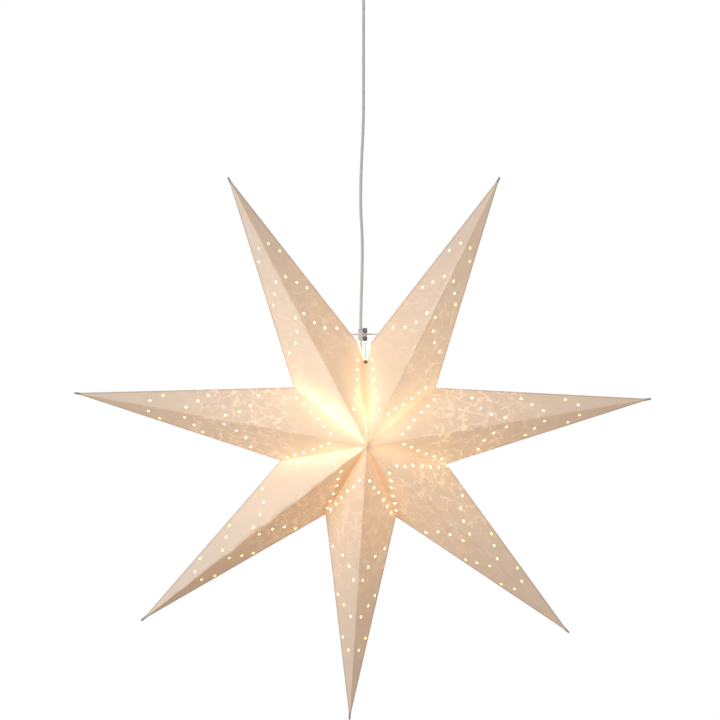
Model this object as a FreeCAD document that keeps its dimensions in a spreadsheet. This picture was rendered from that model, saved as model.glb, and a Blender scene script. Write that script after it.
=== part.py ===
"""Folded paper star pendant: seven hollow paper arms round an E14 lampholder, hung on its cord.

Millimetres, +Z up. The origin is the middle of the bracket's top face, which lies on the ceiling.
The star hangs below it, with its broad face towards -Y.
"""
import FreeCAD, Part
import math
import os
import re
import Sketcher
from FreeCAD import Placement, Rotation, Vector

X_AXIS, Y_AXIS = Vector(1, 0, 0), Vector(0, 1, 0)

doc = FreeCAD.newDocument("paper_star_pendant")

# Driving sizes, in millimetres and degrees. A name that starts with the same word belongs to the
# same piece. Heights of the lamp, the clamp and the cord's entry count from the star's centre,
# those of the ceiling fitting from the ceiling.
SIZES = {
    # paper star
    "tip_radius": 375, "notch_radius": 112, "half_depth": 70, "paper": 0.6,
    "angle_top_left": 117.4, "angle_top_right": 62.7, "angle_right": 7.4,
    "angle_lower_right": -44.1, "angle_bottom": -93.0, "angle_lower_left": -140.6,
    "angle_left": -189.2,
    "tip_tab_length": 6.5, "tip_tab_hold": 3.25, "tip_tab_width": 2.4, "tip_tab_thickness": 1.4,
    "flap_width": 8, "flap_root": 2, "flap_start": 20, "flap_end": 4, "flap_taper": 0.5,
    "punch_radius": 1.8, "punch_corners": 6, "punch_overrun": 0.4,
    "star_drop": 645, "star_shift": 1.45,
    # opening between the two top arms, where the cord goes in
    "entry_margin": 2.3, "entry_bottom": 101.5, "entry_left": 14, "entry_right": 14,
    "entry_foot_left": 1.4, "entry_foot_right": 5.4,
    # wire that carries the star, and its holes in the two top arms
    "wire_height": 133.3, "wire_radius": 0.8, "wire_reach": 31, "wire_end": 7, "wire_bend": 3,
    "wire_play": 0.3, "jog_near": 9.5, "jog_far": 14, "jog_bend": 2,
    # seam pin and link
    "pin_x": 0.9, "pin_height": 99.4, "pin_radius": 0.6, "pin_play": 0.05, "pin_head_radius": 2.3,
    "pin_head_height": 1.6, "pin_stand": 4.225, "pin_tail": 2.675, "link_radius": 0.45,
    "link_gap": 1.2,
    # cord and its clamp
    "cord_radius": 1.9, "clamp_cord_x": -5.0, "clamp_x": 0.5, "clamp_width": 5.4,
    "clamp_height": 16, "clamp_depth": 4.2, "strap_thickness": 0.9, "strap_height": 14,
    "keeper_depth": 2.6, "clamp_screw_pitch": 9.4, "clamp_screw_radius": 1.5,
    "clamp_screw_end": 0.8, "clamp_head_radius": 2.9, "clamp_head_height": 2.2,
    "clamp_slot_width": 0.8, "clamp_slot_depth": 1.1, "clamp_nut_radius": 3.1,
    "clamp_nut_height": 2.4, "drill_overrun": 1,
    # lampholder
    "lamp_x": -4, "nipple_top": 90, "nipple_radius": 5.5, "nipple_thread_radius": 4.8,
    "nipple_thread_length": 3.5, "nipple_play": 0.4, "cord_play": 0.05,
    "cap_top": 82, "cap_foot": 60, "cap_radius": 14, "cap_wall": 1.8, "cap_crown": 9,
    "body_foot": 39, "body_radius": 12.9, "body_wall": 2, "body_lap": 6, "body_lip": 2.3,
    "thread_play": 0.15,
    "ring_top": 50, "ring_foot": 42, "ring_radius": 18, "ring_wall": 1.8, "ring_flange": 2.4,
    "insulator_height": 6, "shell_radius": 7.9, "shell_wall": 0.5, "shell_height": 20,
    "contact_length": 12, "contact_width": 5, "contact_thickness": 0.5,
    # bulb
    "screw_cap_radius": 6.9, "screw_cap_height": 18, "screw_cap_wall": 0.6,
    "foot_insulator_radius": 4.6, "foot_insulator_height": 1.4, "foot_contact_radius": 2.4,
    "foot_contact_height": 1.1, "seat_gap": 0.3, "globe_radius": 22.5, "globe_centre": 13,
    "neck_radius": 6.6, "neck_length": 3.5, "glass": 0.8, "stem_radius": 1.6, "stem_foot": 24,
    "filament_radius": 0.35, "filament_span": 8, "filament_drop": 12, "filament_feet": 1,
    "filament_bend": 2, "contact_tip": 1.4, "bulb_cap_shoulder": 1.2,
    # ceiling bracket and hook
    "bracket_length": 72, "bracket_width": 18, "bracket_thickness": 2,
    "bracket_hole_radius": 2.25, "bracket_hole_pitch": 54,
    "bail_half_width": 9, "bail_radius": 1.75, "bail_bend": 3.5, "bail_drop": 17,
    "hook_radius": 1.25, "hook_play": 0.3, "hook_tip": 3, "hook_shank": 5, "hook_bend": 3,
    "eye_radius": 3.6, "eye_drop": 34,
    # cord hanger
    "hanger_left": 14, "hanger_right": 9, "hanger_depth": 12, "hanger_foot": 57,
    "hanger_deck": 40, "hanger_grip": 8, "cheek_width": 12, "cheek_thickness": 3,
    "cheek_gap": 0.4, "cheek_top": 28, "grip_screw_radius": 1.4, "grip_screw_x": 5.5,
    "grip_screw_length": 9, "grip_screw_head_radius": 2.5, "grip_screw_head_height": 1.6,
    # terminal block and its two leads
    "block_right": -13.5, "block_width": 13.5, "block_depth": 12, "block_top": 10,
    "block_height": 14, "block_bore_radius": 1.4, "block_pole": 3, "block_screw_radius": 1.5,
    "block_screw_pitch": 7, "block_screw_length": 5,
    "lead_radius": 1, "lead_x": -10.5, "lead_y": 1.6, "lead_depth": 6, "lead_bend": 4,
    "lead_rise": 4, "lead_step": 6,
    # ceiling cup
    "cup_gap": 5, "cup_radius": 45, "cup_wall": 1.6, "cup_lip": 7, "cup_foot": 66,
    "cup_shoulder_radius": 24, "cup_shoulder": 60, "cup_foot_radius": 16,
    "gland_radius": 6, "gland_flange": 8.5, "gland_flange_height": 3, "gland_foot": 79,
    "gland_play": 0.7, "gland_screw_radius": 1.5, "gland_screw_height": 6,
    "gland_screw_reach": 8.2,
}

# The punched holes of one facet, seen from in front: each one's distance from the star's centre
# along the arm, and from the ridge.
HOLES = [(46.5, 6.5), (56, 12.7), (64, 20), (75, 27), (85, 33), (94.5, 39),
         (143, 33.8), (151, 21), (163.5, 12.4), (180, 6),
         (206, 24), (218, 15.8), (231, 6.8), (263, 15), (278, 6.8)]

# The cord's route below its straight top: each point's x and height from the star's centre.
CORD_ROUTE = [(-1.5, 400), (-4.4, 346), (-5.4, 296), (-2.9, 258), (-2.9, 222), (-4.3, 180),
              (-5.0, 147), (-5.0, 119), (-2.4, 105.5), (-3.7, 92)]

sheet = doc.addObject("Spreadsheet::Sheet", "Sizes")
for row, (alias, value) in enumerate(SIZES.items(), start=1):
    sheet.set(f"A{row}", alias)
    sheet.set(f"B{row}", str(value))
    sheet.setAlias(f"B{row}", alias)
doc.recompute()


def size(expression):
    """The value of an expression in the sheet's names."""
    return float(sheet.evalExpression(expression))


def bound(expression):
    """The same expression as another object of the document writes it."""
    return re.sub(r"[a-z]\w*", lambda word: "Sizes." + word.group(0)
                  if word.group(0) in SIZES else word.group(0), str(expression))


def bind(target, **expressions):
    """Binds properties to the sheet: Radius="cord_radius" and so on."""
    for name, expression in expressions.items():
        target.setExpression(name.replace("__", "."), bound(expression))
    return target


def place(target, x="0", y="0", z="0", rotation=Rotation()):
    """Puts an object at a point that is written in the sheet's names."""
    target.Placement = Placement(Vector(), rotation)
    return bind(target, Placement__Base__x=x, Placement__Base__y=y, Placement__Base__z=z)


def primitive(kind, name, **expressions):
    return bind(doc.addObject("Part::" + kind, name), **expressions)


def cut(name, base, *tools):
    """Base less its tools, which a compound holds together."""
    result = doc.addObject("Part::Cut", name)
    result.Base = base
    if len(tools) == 1:
        result.Tool = tools[0]
    else:
        gathered = doc.addObject("Part::Compound", name + "_tools")
        gathered.Links = list(tools)
        result.Tool = gathered
    return result


def fuse(name, *pieces):
    result = doc.addObject("Part::MultiFuse", name)
    result.Shapes = list(pieces)
    result.Refine = True
    return result


def compound(name, *pieces):
    result = doc.addObject("Part::Compound", name)
    result.Links = list(pieces)
    return result


def origin_plane(body, role):
    return next(plane for plane in body.Origin.OriginFeatures if plane.Role == role)


def outline(body, name, points, role="XZ_Plane"):
    """A closed sketch through points whose coordinates are expressions in the sheet's names.

    A third entry on a point is the radius of the arc that leads to the next point; it is negative
    where the arc turns clockwise.
    """
    sketch = body.newObject("Sketcher::SketchObject", name)
    sketch.AttachmentSupport = [(origin_plane(body, role), "")]
    sketch.MapMode = "FlatFace"
    spots = [Vector(size(point[0]), size(point[1]), 0) for point in points]
    radii = [size(point[2]) if len(point) > 2 else 0 for point in points]
    following = [*range(1, len(points)), 0]
    half_round = []
    for index, radius in enumerate(radii):
        start, end = spots[index], spots[following[index]]
        chord = end - start
        half_round.append(abs(2 * abs(radius) - chord.Length) < 1e-6)
        if not radius:
            sketch.addGeometry(Part.LineSegment(start, end), False)
            continue
        height = math.sqrt(max(0, radius ** 2 - (chord.Length / 2) ** 2))
        inwards = Vector(-chord.y, chord.x, 0).normalize() * math.copysign(1, radius)
        middle = (start + end) * 0.5 + inwards * (height - abs(radius))
        ends = (start, middle, end) if radius > 0 else (end, middle, start)
        sketch.addGeometry(Part.Arc(*ends), False)
    # An arc is stored anticlockwise, so a clockwise one starts at its second end.
    first_end = [2 if radius < 0 else 1 for radius in radii]
    for index, after in enumerate(following):
        sketch.addConstraint(Sketcher.Constraint(
            "Coincident", index, 3 - first_end[index], after, first_end[after]))
        for kind, coordinate in (("DistanceX", 0), ("DistanceY", 1)):
            number = sketch.addConstraint(Sketcher.Constraint(
                kind, -1, 1, after, first_end[after], spots[after][coordinate]))
            sketch.setExpression(f"Constraints[{number}]", bound(points[after][coordinate]))
        if radii[index] and not half_round[index]:
            number = sketch.addConstraint(
                Sketcher.Constraint("Radius", index, abs(radii[index])))
            sketch.setExpression(f"Constraints[{number}]", bound(points[index][2]).lstrip("-"))
    return sketch


def turned(label, points, x="0", z="0"):
    """A piece turned about the vertical through (x, z), from its half section."""
    body = doc.addObject("PartDesign::Body", label)
    sketch = outline(body, label + "_section", points)
    turn = body.newObject("PartDesign::Revolution", label + "_turn")
    turn.Profile = sketch
    turn.ReferenceAxis = (sketch, ["V_Axis"])
    turn.Angle = 360
    place(body, x=x, z=z)
    return body


def solid_part(label, shape, x="0", z="0"):
    """A piece whose shape is worked out below, put at (x, z) afterwards."""
    part = doc.addObject("Part::Feature", label)
    part.Shape = shape
    return place(part, x=x, z=z)


def rod(points, radius, bends):
    """A round wire through points, with an arc of the given radius at each inner one."""
    edges = []
    start = points[0]
    for before, corner, after, bend in zip(points, points[1:], points[2:], bends):
        back, forth = (before - corner).normalize(), (after - corner).normalize()
        half = back.getAngle(forth) / 2
        inset = bend / math.tan(half)
        bisector = (back + forth).normalize()
        centre = corner + bisector * (bend / math.sin(half))
        first, last = corner + back * inset, corner + forth * inset
        if (first - start).Length > 1e-6:
            edges.append(Part.LineSegment(start, first).toShape())
        edges.append(Part.Arc(first, centre - bisector * bend, last).toShape())
        start = last
    edges.append(Part.LineSegment(start, points[-1]).toShape())
    path = Part.Wire(edges)
    section = Part.Wire([Part.Circle(points[0], points[1] - points[0], radius).toShape()])
    shape = path.makePipeShell([section], True, False)
    assert abs(shape.Volume / (math.pi * radius ** 2 * path.Length) - 1) < 0.01
    return shape


# ---------------------------------------------------------------------------------------------
# Paper star. Each arm is one sheet, folded along a front and a back ridge and two side edges. Its
# four facets all start on the star's axis: the front ones at the front apex, the back ones at the
# back apex. The arm stays open towards the lamp, and its left edge has flaps that are glued
# inside the next arm.

STAR = dict(x="star_shift", z="-star_drop")
ARMS = ["top_left", "top_right", "right", "lower_right", "bottom", "lower_left", "left"]


def spoke(radius, degrees):
    angle = math.radians(degrees)
    return Vector(radius * math.cos(angle), 0, radius * math.sin(angle))


def closed_solid(triangles):
    faces = [Part.Face(Part.makePolygon([a, b, c, a])) for a, b, c in triangles]
    shape = Part.makeSolid(Part.makeShell(faces))
    if shape.Volume < 0:
        shape.reverse()
    return shape


def wedge(front, back, tip, left, right):
    """The outer form of an arm, between the two planes where it meets its neighbours."""
    return closed_solid([(front, left, tip), (front, tip, right), (back, tip, left),
                         (back, right, tip), (front, back, left), (back, front, right)])


def scaled(points, share):
    return [point * share for point in points]


def flap_strip(apex, notch, tip, width, inner, outer):
    """A strip of paper along the fold from apex to notch, on the facet that reaches to tip."""
    along = (notch - apex).normalize()
    across = tip - apex
    across = (across - along * across.dot(along)).normalize()
    length = (notch - apex).Length
    start, end = size("flap_start"), length - size("flap_end")
    taper = width * size("flap_taper")
    corners = [apex + along * start, apex + along * end,
               apex + along * (end - taper) + across * width,
               apex + along * (start + taper) + across * width]
    wires = [Part.makePolygon(scaled(corners + corners[:1], share)) for share in (outer, inner)]
    return Part.makeLoft(wires, True, True)


def punches(apex, tip, notch):
    """The tools that punch one facet's holes, square to the card."""
    normal = (tip - apex).cross(notch - apex).normalize()
    along = Vector(tip).normalize()
    out = (notch - along * notch.dot(along)).normalize()
    corner_count = round(size("punch_corners"))
    reach = normal * size("2 * paper + punch_overrun")
    spoke_of_hole = (tip - apex).normalize() * size("punch_radius")
    tools = []
    for distance, offset in HOLES:
        flat = along * distance + out * offset
        middle = flat + Y_AXIS * (normal.dot(apex - flat) / normal.y)
        rim = [middle - reach
               + Rotation(normal, 360 * corner / corner_count).multVec(spoke_of_hole)
               for corner in range(corner_count + 1)]
        tools.append(Part.Face(Part.makePolygon(rim)).extrude(reach * 2))
    return tools


half_depth, tip_radius, notch_radius = size("half_depth"), size("tip_radius"), size("notch_radius")
front_apex, back_apex = Vector(0, -half_depth, 0), Vector(0, half_depth, 0)
even_half = math.pi / len(ARMS)
side_slope = (1 / notch_radius - math.cos(even_half) / tip_radius) / math.sin(even_half)
facet_distance = 1 / math.sqrt(half_depth ** -2 + tip_radius ** -2 + side_slope ** 2)
inner_share = 1 - size("paper") / facet_distance
flap_share = inner_share - size("paper") / facet_distance

# The entry's top stays below the wire's holes.
entry_top = size("wire_height - entry_margin")
entry = Part.Face(Part.makePolygon([Vector(x, -half_depth, z) for x, z in (
    (-size("entry_left"), entry_top),
    (-size("entry_foot_left"), size("entry_bottom")),
    (size("entry_foot_right"), size("entry_bottom")),
    (size("entry_right"), entry_top),
    (-size("entry_left"), entry_top))])).extrude(Vector(0, 2 * half_depth, 0))
wire_hole = Part.makeCylinder(
    size("wire_radius + wire_play"), 2 * size("wire_reach"),
    Vector(-size("wire_reach"), 0, size("wire_height")), X_AXIS)
pin_hole = Part.makeCylinder(
    size("pin_radius"), half_depth, Vector(size("pin_x"), -half_depth, size("pin_height")), Y_AXIS)
top_cuts = Part.makeCompound([entry, wire_hole, pin_hole])

arm_angles = [size("angle_" + name) for name in ARMS]
for index, name in enumerate(ARMS):
    angle = arm_angles[index]
    left_angle = arm_angles[index - 1] + (360 if index == 0 else 0)
    right_angle = arm_angles[(index + 1) % len(ARMS)] - (360 if index == len(ARMS) - 1 else 0)
    tip = spoke(tip_radius, angle)
    left = spoke(notch_radius, (angle + left_angle) / 2)
    right = spoke(notch_radius, (angle + right_angle) / 2)
    next_tip = spoke(tip_radius, left_angle)
    corners = [front_apex, back_apex, tip, left, right]
    arm = wedge(*corners).cut(wedge(*scaled(corners, inner_share)))
    arm = arm.fuse([flap_strip(apex, left, towards, width, flap_share, inner_share)
                    for apex in (front_apex, back_apex)
                    for towards, width in ((next_tip, size("flap_width")),
                                           (tip, size("flap_root")))])
    turn = Rotation(Y_AXIS, -angle)
    tab_start = tip_radius - size("tip_tab_length")
    beyond = Part.makeBox(tip_radius, tip_radius, tip_radius,
                          Vector(tab_start, -tip_radius / 2, -tip_radius / 2))
    tab = Part.makeBox(size("tip_tab_length + tip_tab_hold"), size("tip_tab_thickness"),
                       size("tip_tab_width"),
                       Vector(size("tip_radius - tip_tab_length - tip_tab_hold"),
                              -size("tip_tab_thickness / 2"), -size("tip_tab_width / 2")))
    for piece in (beyond, tab):
        piece.Placement = Placement(Vector(), turn)
    arm = arm.cut(beyond).fuse(tab)
    # The next arm's holes go through this arm's flaps as well.
    arm = arm.cut([tool for apex in (front_apex, back_apex)
                   for end, valley in ((tip, left), (tip, right), (next_tip, left))
                   for tool in punches(apex, end, valley)])
    if name in ("top_left", "top_right"):
        arm = arm.cut(top_cuts)
    arm = arm.removeSplitter()
    solid_part("arm_" + name, arm, **STAR)

# ---------------------------------------------------------------------------------------------
# Seam pin: a rivet with a domed head that closes the paper where the two top arms meet in front,
# and the thin wire link that keeps it near the clamp.

# The valley between the two top arms lies this far in front of the star's middle at the pin.
valley = size("half_depth * (1 - pin_height / notch_radius)")
pin_head_back = -valley - size("pin_stand")
head_height, head_radius = size("pin_head_height"), size("pin_head_radius")
head = Part.makeCone(head_radius, head_radius / 2, head_height,
                     Vector(0, pin_head_back, 0), Vector(0, -1, 0))
shank = Part.makeCylinder(size("pin_radius - pin_play"), size("pin_stand + pin_tail"),
                          Vector(0, pin_head_back, 0), Y_AXIS)
solid_part("seam_pin", head.fuse(shank).removeSplitter(),
           x="star_shift + pin_x", z="pin_height - star_drop")

link_top = Vector(size("clamp_x"), -size("clamp_depth / 2 + strap_thickness / 2"),
                  size("wire_height - strap_height / 2 - link_gap"))
link_foot = Vector(size("pin_x"), pin_head_back - size("link_radius"),
                   size("pin_height + pin_head_radius + link_radius"))
solid_part("seam_link", Part.makeCylinder(size("link_radius"), (link_foot - link_top).Length,
                                          link_top, link_foot - link_top), **STAR)

# ---------------------------------------------------------------------------------------------
# Hanger wire: a stiff wire that passes behind the cord and through the clamp's keeper. Both ends
# are bent down inside the top arms, and the star hangs on its two straight stretches there.

reach, level = size("wire_reach"), size("wire_height")
wire_back = size("clamp_depth / 2 + strap_thickness + keeper_depth / 2")
wire_points = [Vector(-reach, 0, size("wire_height - wire_end")), Vector(-reach, 0, level),
               Vector(size("clamp_x - jog_far"), 0, level),
               Vector(size("clamp_x - jog_near"), wire_back, level),
               Vector(size("clamp_x + jog_near"), wire_back, level),
               Vector(size("clamp_x + jog_far"), 0, level), Vector(reach, 0, level),
               Vector(reach, 0, size("wire_height - wire_end"))]
wire_bends = [size("wire_bend")] + [size("jog_bend")] * 4 + [size("wire_bend")]
solid_part("hanger_wire", rod(wire_points, size("wire_radius"), wire_bends), **STAR)

# ---------------------------------------------------------------------------------------------
# Cord clamp: a strap round the cord with a small bar between its legs, and behind them a keeper
# that the wire runs through. Two screws with nuts pull it all tight.

strap_back = "clamp_depth / 2 + strap_thickness"
bar = primitive("Box", "bar_block", Length="clamp_width", Width="clamp_depth",
                Height="clamp_height")
keeper = primitive("Box", "keeper_block", Length="clamp_width", Width="keeper_depth",
                   Height="clamp_height")
for block, front in ((bar, "-clamp_depth / 2"), (keeper, strap_back)):
    place(block, x="star_shift + clamp_x - clamp_width / 2", y=front,
          z="wire_height - star_drop - clamp_height / 2")
along_wire = primitive("Cylinder", "keeper_wire_hole", Radius="wire_radius",
                       Height="clamp_width + 2 * drill_overrun")
place(along_wire, x="star_shift + clamp_x - clamp_width / 2 - drill_overrun",
      y=strap_back + " + keeper_depth / 2", z="wire_height - star_drop",
      rotation=Rotation(Y_AXIS, 90))
screw_holes = []
for side, sign in (("upper", "+"), ("lower", "-")):
    hole = primitive("Cylinder", f"clamp_{side}_hole", Radius="clamp_screw_radius",
                     Height=f"2 * ({strap_back}) + keeper_depth + 2 * drill_overrun")
    place(hole, x="star_shift + clamp_x", y=f"-({strap_back}) - drill_overrun",
          z=f"wire_height - star_drop {sign} clamp_screw_pitch / 2",
          rotation=Rotation(X_AXIS, -90))
    screw_holes.append(hole)
cut("clamp_bar", bar, *screw_holes)
cut("wire_keeper", keeper, along_wire, *screw_holes)

strap = doc.addObject("PartDesign::Body", "strap_blank")
strap_inside = "clamp_depth / 2"
right_end = "clamp_x + clamp_width / 2"
strap_sketch = outline(strap, "strap_section", [
    (right_end, strap_back), ("clamp_cord_x", strap_back, strap_back),
    ("clamp_cord_x", f"-({strap_back})"), (right_end, f"-({strap_back})"),
    (right_end, f"-({strap_inside})"),
    ("clamp_cord_x", f"-({strap_inside})", f"-({strap_inside})"),
    ("clamp_cord_x", strap_inside), (right_end, strap_inside)], role="XY_Plane")
strap_pad = strap.newObject("PartDesign::Pad", "strap_pad")
strap_pad.Profile = strap_sketch
bind(strap_pad, Length="strap_height")
place(strap, x="star_shift", z="wire_height - star_drop - strap_height / 2")
cut("clamp_strap", strap, *screw_holes)

screws, nuts = [], []
for side, sign in (("upper", "+"), ("lower", "-")):
    level_of = f"wire_height - star_drop {sign} clamp_screw_pitch / 2"
    head = primitive("Cylinder", f"{side}_screw_head", Radius="clamp_head_radius",
                     Height="clamp_head_height")
    place(head, x="star_shift + clamp_x", y=f"-({strap_back}) - clamp_head_height", z=level_of,
          rotation=Rotation(X_AXIS, -90))
    slot = primitive("Box", f"{side}_screw_slot",
                     Length="2 * (clamp_head_radius + drill_overrun)",
                     Width="clamp_slot_depth + drill_overrun", Height="clamp_slot_width")
    place(slot, x="star_shift + clamp_x - clamp_head_radius - drill_overrun",
          y=f"-({strap_back}) - clamp_head_height - drill_overrun",
          z=level_of + " - clamp_slot_width / 2")
    shank = primitive("Cylinder", f"{side}_screw_shank", Radius="clamp_screw_radius",
                      Height=f"2 * ({strap_back}) + keeper_depth + clamp_nut_height"
                             " + clamp_screw_end")
    place(shank, x="star_shift + clamp_x", y=f"-({strap_back})", z=level_of,
          rotation=Rotation(X_AXIS, -90))
    screws.append(fuse(f"{side}_clamp_screw", cut(f"{side}_slotted_head", head, slot), shank))
    nut = primitive("Prism", f"{side}_nut_blank", Circumradius="clamp_nut_radius",
                    Height="clamp_nut_height")
    nut.Polygon = 6
    place(nut, x="star_shift + clamp_x", y=strap_back + " + keeper_depth", z=level_of,
          rotation=Rotation(X_AXIS, -90))
    bore = primitive("Cylinder", f"{side}_nut_bore", Radius="clamp_screw_radius",
                     Height="clamp_nut_height + 2 * drill_overrun")
    place(bore, x="star_shift + clamp_x", y=strap_back + " + keeper_depth - drill_overrun",
          z=level_of, rotation=Rotation(X_AXIS, -90))
    nuts.append(cut(f"{side}_clamp_nut", nut, bore))
compound("clamp_screws", *screws)
compound("clamp_nuts", *nuts)

# ---------------------------------------------------------------------------------------------
# Lampholder: a cap on a threaded nipple, a body that screws into it and a shade ring. Inside sit
# the insulator with the centre contact and the threaded shell.

LAMP = dict(x="star_shift + lamp_x", z="-star_drop")

turned("cord_nipple", [
    ("cord_radius + nipple_play", "nipple_top"), ("nipple_radius", "nipple_top"),
    ("nipple_radius", "cap_top"), ("nipple_thread_radius", "cap_top"),
    ("nipple_thread_radius", "cap_top - nipple_thread_length"),
    ("cord_radius + nipple_play", "cap_top - nipple_thread_length")], **LAMP)
turned("holder_cap", [
    ("nipple_thread_radius", "cap_top"), ("cap_radius - cap_crown", "cap_top", "-cap_crown"),
    ("cap_radius", "cap_top - cap_crown"), ("cap_radius", "cap_foot"),
    ("body_radius + thread_play", "cap_foot"),
    ("body_radius + thread_play", "cap_foot + body_lap"),
    ("cap_radius - cap_wall", "cap_foot + body_lap"),
    ("cap_radius - cap_wall", "cap_top - cap_crown"),
    ("nipple_thread_radius", "cap_top - cap_wall")], **LAMP)
turned("holder_body", [
    ("body_radius - body_wall", "cap_foot + body_lap"), ("body_radius", "cap_foot + body_lap"),
    ("body_radius", "body_foot"), ("body_radius - body_wall - body_lip", "body_foot"),
    ("body_radius - body_wall - body_lip", "body_foot + body_wall"),
    ("body_radius - body_wall", "body_foot + body_wall")], **LAMP)
turned("shade_ring", [
    ("body_radius + thread_play", "ring_top"), ("body_radius + ring_wall", "ring_top"),
    ("body_radius + ring_wall", "ring_foot + ring_flange"),
    ("ring_radius", "ring_foot + ring_flange"), ("ring_radius", "ring_foot"),
    ("body_radius + thread_play", "ring_foot")], **LAMP)
turned("holder_insulator", [
    ("0", "cap_foot + body_lap"), ("cap_radius - cap_wall - thread_play", "cap_foot + body_lap"),
    ("cap_radius - cap_wall - thread_play", "cap_foot + body_lap + insulator_height"),
    ("0", "cap_foot + body_lap + insulator_height")], **LAMP)
turned("socket_shell", [
    ("shell_radius - shell_wall", "cap_foot + body_lap"), ("shell_radius", "cap_foot + body_lap"),
    ("shell_radius", "cap_foot + body_lap - shell_height"),
    ("shell_radius - shell_wall", "cap_foot + body_lap - shell_height")], **LAMP)
contact = primitive("Box", "centre_contact", Length="contact_length", Width="contact_width",
                    Height="contact_thickness")
place(contact, x="star_shift + lamp_x - contact_length / 2", y="-contact_width / 2",
      z="cap_foot + body_lap - contact_thickness - star_drop")

# ---------------------------------------------------------------------------------------------
# Bulb: a frosted round bulb that hangs cap up in the lampholder, with the stem and the filament
# inside its glass.

contact_top = "cap_foot + body_lap - contact_thickness - seat_gap"
foot_top = contact_top + " - foot_contact_height"
cap_end = foot_top + " - foot_insulator_height"
neck_top = cap_end + " - screw_cap_height"
neck_foot = neck_top + " - neck_length"

turned("bulb_contact", [
    ("0", contact_top), ("contact_tip", contact_top),
    ("foot_contact_radius", foot_top), ("0", foot_top)], **LAMP)
turned("bulb_foot_insulator", [
    ("0", foot_top), ("foot_contact_radius", foot_top), ("foot_insulator_radius", cap_end),
    ("0", cap_end)], **LAMP)
turned("bulb_screw_cap", [
    ("0", cap_end), ("foot_insulator_radius", cap_end),
    ("screw_cap_radius", cap_end + " - bulb_cap_shoulder"), ("screw_cap_radius", neck_top),
    ("screw_cap_radius - screw_cap_wall", neck_top),
    ("screw_cap_radius - screw_cap_wall", cap_end + " - bulb_cap_shoulder - screw_cap_wall"),
    ("0", cap_end + " - bulb_cap_shoulder - screw_cap_wall")], **LAMP)
side = "globe_radius * sqrt(0.5)"
inner_side = "(globe_radius - glass) * sqrt(0.5)"
collar_radius = "screw_cap_radius - screw_cap_wall - thread_play"
turned("bulb_glass", [
    ("0", "globe_centre - globe_radius", "globe_radius"),
    (side, "globe_centre + " + side), ("neck_radius", neck_foot), ("neck_radius", neck_top),
    (collar_radius, neck_top), (collar_radius, neck_top + " + neck_length"),
    (collar_radius + " - glass", neck_top + " + neck_length"),
    (collar_radius + " - glass", neck_foot),
    (inner_side, "globe_centre + " + inner_side, "-(globe_radius - glass)"),
    ("0", "globe_centre - globe_radius + glass")], **LAMP)
turned("bulb_stem", [
    ("0", neck_top + " + neck_length"),
    (collar_radius + " - glass - thread_play", neck_top + " + neck_length"),
    (collar_radius + " - glass - thread_play", neck_top), ("stem_radius", neck_foot),
    ("stem_radius", "stem_foot"), ("0", "stem_foot")], **LAMP)
span, drop = size("filament_span"), size("filament_drop")
feet = size("filament_feet")
hook_level = size("stem_foot - filament_radius - cord_play")
solid_part("filament", rod(
    [Vector(-feet, 0, hook_level), Vector(-span, 0, hook_level - drop / 2),
     Vector(-span / 2, 0, hook_level - drop), Vector(span / 2, 0, hook_level - drop),
     Vector(span, 0, hook_level - drop / 2), Vector(feet, 0, hook_level)],
    size("filament_radius"), [size("filament_bend")] * 4), **LAMP)

# ---------------------------------------------------------------------------------------------
# Cord: it hangs straight from the cord hanger, waves a little and ends in the lampholder's cap.

cord_top = Vector(0, 0, size("-hanger_foot + hanger_grip"))
cord_end = Vector(size("star_shift + lamp_x"), 0, size("cap_top - nipple_thread_length - star_drop"))
route = [cord_top]
route += [Vector(x + size("star_shift"), 0, height - size("star_drop"))
          for x, height in CORD_ROUTE]
route.append(cord_end)
cord_bends = []
for before, corner, after in zip(route, route[1:], route[2:]):
    turn = math.pi - (before - corner).getAngle(after - corner)
    shorter = min((before - corner).Length, (after - corner).Length)
    cord_bends.append(0.45 * shorter / math.tan(turn / 2))
print("cord radii", [round(bend) for bend in cord_bends])
solid_part("mains_cord", rod(route, size("cord_radius"), cord_bends))

# ---------------------------------------------------------------------------------------------
# Ceiling bracket: a steel strap with two screw holes and a bail welded to its underside.

strap_blank = primitive("Box", "bracket_strap", Length="bracket_length", Width="bracket_width",
                        Height="bracket_thickness")
place(strap_blank, x="-bracket_length / 2", y="-bracket_width / 2", z="-bracket_thickness")
bracket_holes = []
for end, sign in (("left", "-"), ("right", "")):
    hole = primitive("Cylinder", f"bracket_{end}_hole", Radius="bracket_hole_radius",
                     Height="bracket_thickness + 2")
    bracket_holes.append(place(hole, x=sign + "bracket_hole_pitch / 2",
                               z="-bracket_thickness - 1"))
half, depth = size("bail_half_width"), size("bail_drop")
weld = -size("bracket_thickness / 2")
bail = solid_part("bail", rod(
    [Vector(-half, 0, weld), Vector(-half, 0, -depth), Vector(half, 0, -depth),
     Vector(half, 0, weld)], size("bail_radius"), [size("bail_bend")] * 2))
fuse("ceiling_bracket", cut("drilled_strap", strap_blank, *bracket_holes), bail)

# Hook: a bent wire that hangs over the bail, with a closed eye below.
swing_radius = size("bail_radius + hook_play + hook_radius")
shank_foot = -depth - size("hook_shank")
eye_top = size("-eye_drop + eye_radius")
hook_wire = rod(
    [Vector(0, -swing_radius, -depth - size("hook_tip")),
     Vector(0, -swing_radius, -depth + swing_radius),
     Vector(0, swing_radius, -depth + swing_radius), Vector(0, swing_radius, shank_foot),
     Vector(0, 0, shank_foot - swing_radius), Vector(0, 0, eye_top)],
    size("hook_radius"), [swing_radius, swing_radius, size("hook_bend"), size("hook_bend")])
eye = Part.makeTorus(size("eye_radius"), size("hook_radius"), Vector(0, 0, -size("eye_drop")),
                     Y_AXIS)
solid_part("hanger_hook", hook_wire.fuse(eye).removeSplitter())

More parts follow.
